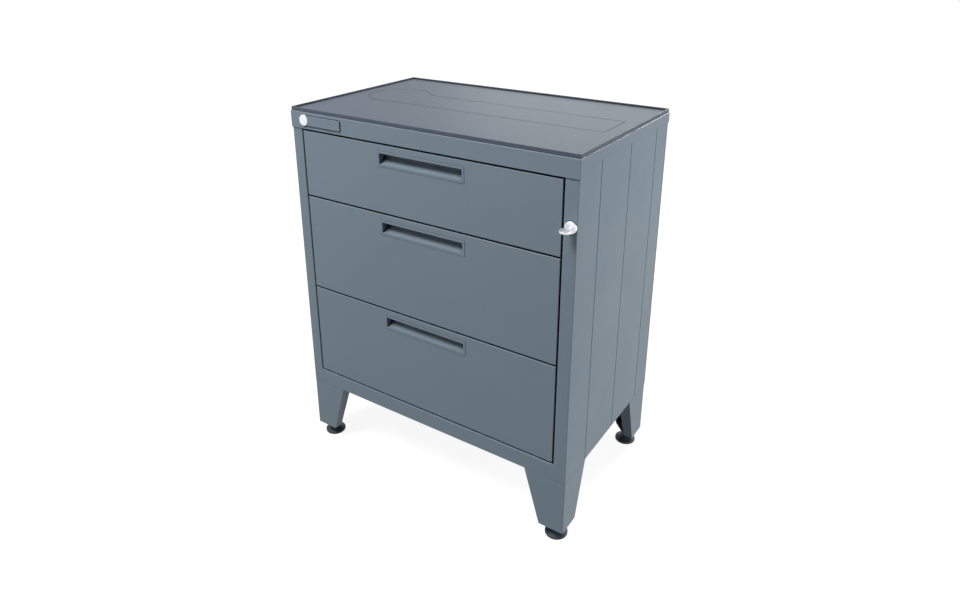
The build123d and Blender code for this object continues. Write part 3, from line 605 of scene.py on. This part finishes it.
def lock_key():
    """The key, lying level in the lock: its cut blade and its thick round bow."""
    low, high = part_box("lock_key")
    at = middle("lock_key")
    centre = Vector((at.x, low[1] + KEY_BOW * MM, at.z))
    long = high[1] - centre.y
    form = bmesh.new()
    put(form, key_blade(long), (at.x, centre.y + long / 2, at.z - KEY_SHEET * MM / 2))
    put(form, key_bow(), centre)
    finished(form, "cut_key", "lock", "nickel", ["lock_key"], sharp=KEY_SHARP)


# Slides

def soft_block(thick, long, high):
    """A block with softened edges, from its three lengths in millimetres."""
    form = bmesh.new()
    bmesh.ops.create_cube(form, size=1.0)
    bmesh.ops.scale(form, verts=form.verts, vec=(thick * MM, long * MM, high * MM))
    bmesh.ops.bevel(form, geom=form.edges[:], offset=LEVER_SOFT * MM, segments=2, profile=0.5, affect="EDGES")
    return form


def slide_levers(number):
    """The release lever in each drawer member, and the buffer at the front of its web."""
    low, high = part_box(f"slide_drawer_members_{number}")
    level = (low[2] + high[2]) / 2
    form = bmesh.new()
    for side in (-1, 1):
        web = side * (high[0] - LEVER_SEAT * MM)
        for start, end, lower, upper, thick in LEVER_BLOCKS:
            along = LEVER_FROM + (start + end) / 2
            put(form, soft_block(thick, end - start, upper - lower), (
                web + side * thick * MM / 2, low[1] + along * MM, level + (lower + upper) / 2 * MM,
            ))
    finished(form, f"slide_levers_{number}", f"drawer_{number}", "black_plastic")


# Studio

def shown_rays(tree):
    """1 for rays from the camera, in reflections and through glass, 0 for the light on surfaces."""
    path = tree.nodes.new("ShaderNodeLightPath").outputs
    seen = calculated(tree, "MAXIMUM", path["Is Camera Ray"], path["Is Glossy Ray"])
    return calculated(tree, "MAXIMUM", seen, path["Is Transmission Ray"])


def split_rays(tree, plain, shown):
    """One shader for the light on surfaces, and another for what is seen."""
    made = add_node(tree, "ShaderNodeMixShader", Fac=shown_rays(tree))
    fill(tree, made.inputs[1:3], (plain.outputs[0], shown.outputs[0]))
    return made.outputs["Shader"]


def pale_backdrop():
    """White seen by the camera and in reflections, and a plain soft light on the object."""
    world = bpy.data.worlds.new("studio")
    bpy.context.scene.world = world
    world.use_nodes = True
    tree = world.node_tree
    tree.nodes.clear()
    seen = add_node(tree, "ShaderNodeBackground", Color=(*PLAIN, 1), Strength=1.0)
    soft = add_node(tree, "ShaderNodeBackground", Color=(*WORLD_COLOUR, 1), Strength=WORLD_LEVEL)
    out = tree.nodes.new("ShaderNodeOutputWorld")
    tree.links.new(split_rays(tree, soft, seen), out.inputs["Surface"])


def pale_floor():
    """A wide pale floor that keeps the object's shadow."""
    mesh = bpy.data.meshes.new("floor")
    form = bmesh.new()
    bmesh.ops.create_circle(form, cap_ends=True, segments=FLOOR_SIDES, radius=FLOOR_RADIUS)
    form.to_mesh(mesh)
    form.free()
    floor = bpy.data.objects.new("floor", mesh)
    bpy.context.scene.collection.objects.link(floor)
    made, tree, body = shader("pale_floor")
    tree.nodes.remove(body)
    matt = add_node(tree, "ShaderNodeBsdfDiffuse", Color=(*FLOOR_SHADED, 1))
    where = place_on_piece(tree, (1 / FLOOR_NEAR, 1 / FLOOR_NEAR, 1))
    around = add_node(tree, "ShaderNodeTexGradient", {"gradient_type": "SPHERICAL"}, Vector=where)
    level = spread(tree, around.outputs["Fac"], 1.0, FLOOR_GLOW, 0.0, FLOOR_FADE)
    glow = add_node(tree, "ShaderNodeEmission", Color=(*PLAIN, 1), Strength=level)
    both = tree.nodes.new("ShaderNodeAddShader")
    fill(tree, both.inputs, (matt.outputs["BSDF"], glow.outputs["Emission"]))
    plain = add_node(tree, "ShaderNodeBsdfDiffuse", Color=(*FLOOR_PLAIN, 1))
    tree.links.new(split_rays(tree, plain, both), tree.nodes["Material Output"].inputs["Surface"])
    mesh.materials.append(made)


def soft_light(name, at, towards, size, watts):
    """A large square soft light."""
    lamp = bpy.data.lights.new(name, "AREA")
    lamp.shape = "SQUARE"
    lamp.size = size
    lamp.energy = watts
    held = bpy.data.objects.new(name, lamp)
    held.location = at
    held.rotation_euler = (Vector(towards) - Vector(at)).to_track_quat("-Z", "Y").to_euler()
    bpy.context.scene.collection.objects.link(held)


def studio_camera():
    """The camera, where the photograph was taken from."""
    lens = bpy.data.cameras.new("camera")
    lens.sensor_width = CAMERA_SENSOR
    lens.lens = CAMERA_LENS
    lens.shift_y = CAMERA_SHIFT
    held = bpy.data.objects.new("camera", lens)
    held.location = CAMERA_AT
    held.rotation_euler = (math.radians(CAMERA_TILT), 0, math.radians(CAMERA_TURN))
    bpy.context.scene.collection.objects.link(held)
    bpy.context.scene.camera = held


dress_nodes()
leg_bolts()
foot_nuts()
for corner in CORNERS:
    foot_stud(corner)
blind_rivets()
lock_key()
for number in (1, 2, 3):
    slide_levers(number)
pale_backdrop()
pale_floor()
for name, lamp in LAMPS.items():
    soft_light(name, *lamp)
studio_camera()
bpy.context.scene.view_settings.view_transform = "Standard"
